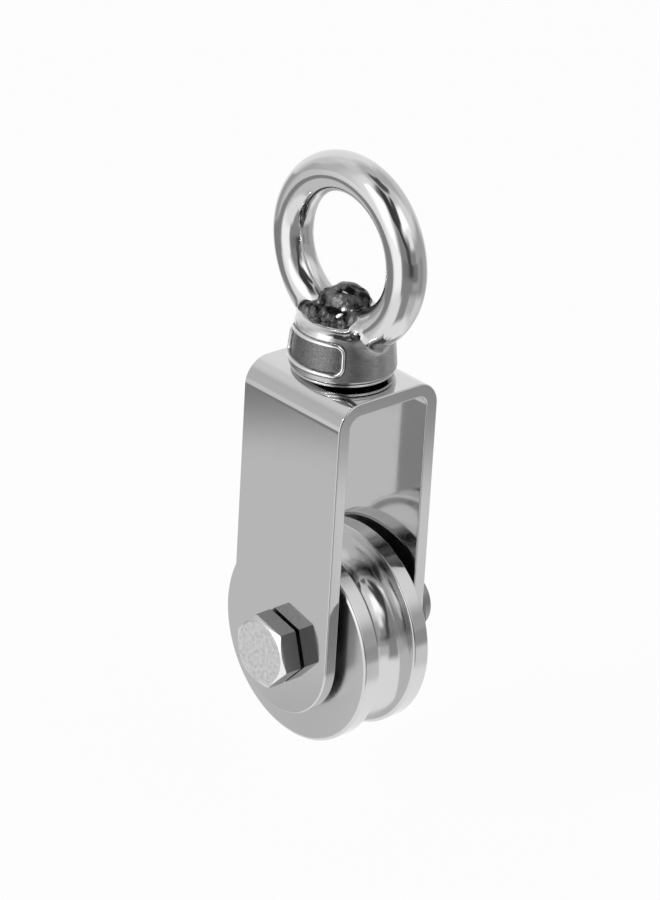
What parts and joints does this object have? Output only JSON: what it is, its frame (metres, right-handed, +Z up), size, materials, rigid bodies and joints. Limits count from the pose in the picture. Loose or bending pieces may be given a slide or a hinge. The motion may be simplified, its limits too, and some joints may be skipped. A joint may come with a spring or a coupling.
{
  "type": "wire rope pulley",
  "caption": "Hanging rope pulley: a swivelling eye nut on a folded flat-bar bracket, with a grooved sheave on a ball bearing.",
  "frame": {"origin": "where a hook bears on the inside crown of the eye, at the middle of the ring's bar", "axes": "+Z up along the line of pull, +Y along the sheave's axle away from the bolt's head, +X across the bracket along the rope"},
  "size_m": [0.06, 0.0604, 0.175],
  "materials": {
    "polished_casting": "polished cast stainless steel",
    "polished_bar": "polished stainless flat bar",
    "turned_steel": "turned stainless steel",
    "washer_steel": "stamped and tumbled stainless steel",
    "bolt_steel": "cold-headed stainless steel",
    "sheave_steel": "turned and satin-polished stainless steel",
    "bearing_steel": "ground bearing steel",
    "pressed_steel": "pressed steel sheet",
    "weld": "heat-darkened stainless weld",
    "nylon": "white nylon"
  },
  "bodies": {
    "eye": {"eye_nut": "polished_casting", "swivel_stud": "turned_steel", "stud_weld": "weld", "swivel_washer": "washer_steel"},
    "bracket": {"bracket": "polished_bar", "axle_bolt": "bolt_steel", "axle_nut": "bolt_steel", "axle_nut_insert": "nylon", "axle_nut_washer": "washer_steel", "spacer_near": "turned_steel", "spacer_far": "turned_steel", "bearing_inner_ring": "bearing_steel"},
    "sheave": {"sheave": "sheave_steel", "bearing_outer_ring": "bearing_steel", "bearing_shield_near": "pressed_steel", "bearing_shield_far": "pressed_steel", "bearing_circlip": "pressed_steel"},
    "ball_cage": {"bearing_cage": "pressed_steel", "bearing_ball_1": "bearing_steel", "bearing_ball_2": "bearing_steel", "bearing_ball_3": "bearing_steel", "bearing_ball_4": "bearing_steel", "bearing_ball_5": "bearing_steel", "bearing_ball_6": "bearing_steel", "bearing_ball_7": "bearing_steel"}
  },
  "joints": [
    {"name": "eye_swivel", "type": "hinge", "parent": "eye", "child": "bracket", "pos_m": [0, 0, -0.05255], "axis": [0, 0, 1], "continuous": true},
    {"name": "sheave_spin", "type": "hinge", "parent": "bracket", "child": "sheave", "pos_m": [0, 0, -0.13365], "axis": [0, 1, 0], "continuous": true},
    {"name": "cage_orbit", "type": "hinge", "parent": "bracket", "child": "ball_cage", "pos_m": [0, 0, -0.13365], "axis": [0, 1, 0], "continuous": true}
  ],
  "couplings": [
    {"joint": "cage_orbit", "follows": "sheave_spin", "ratio": 0.63636}
  ]
}
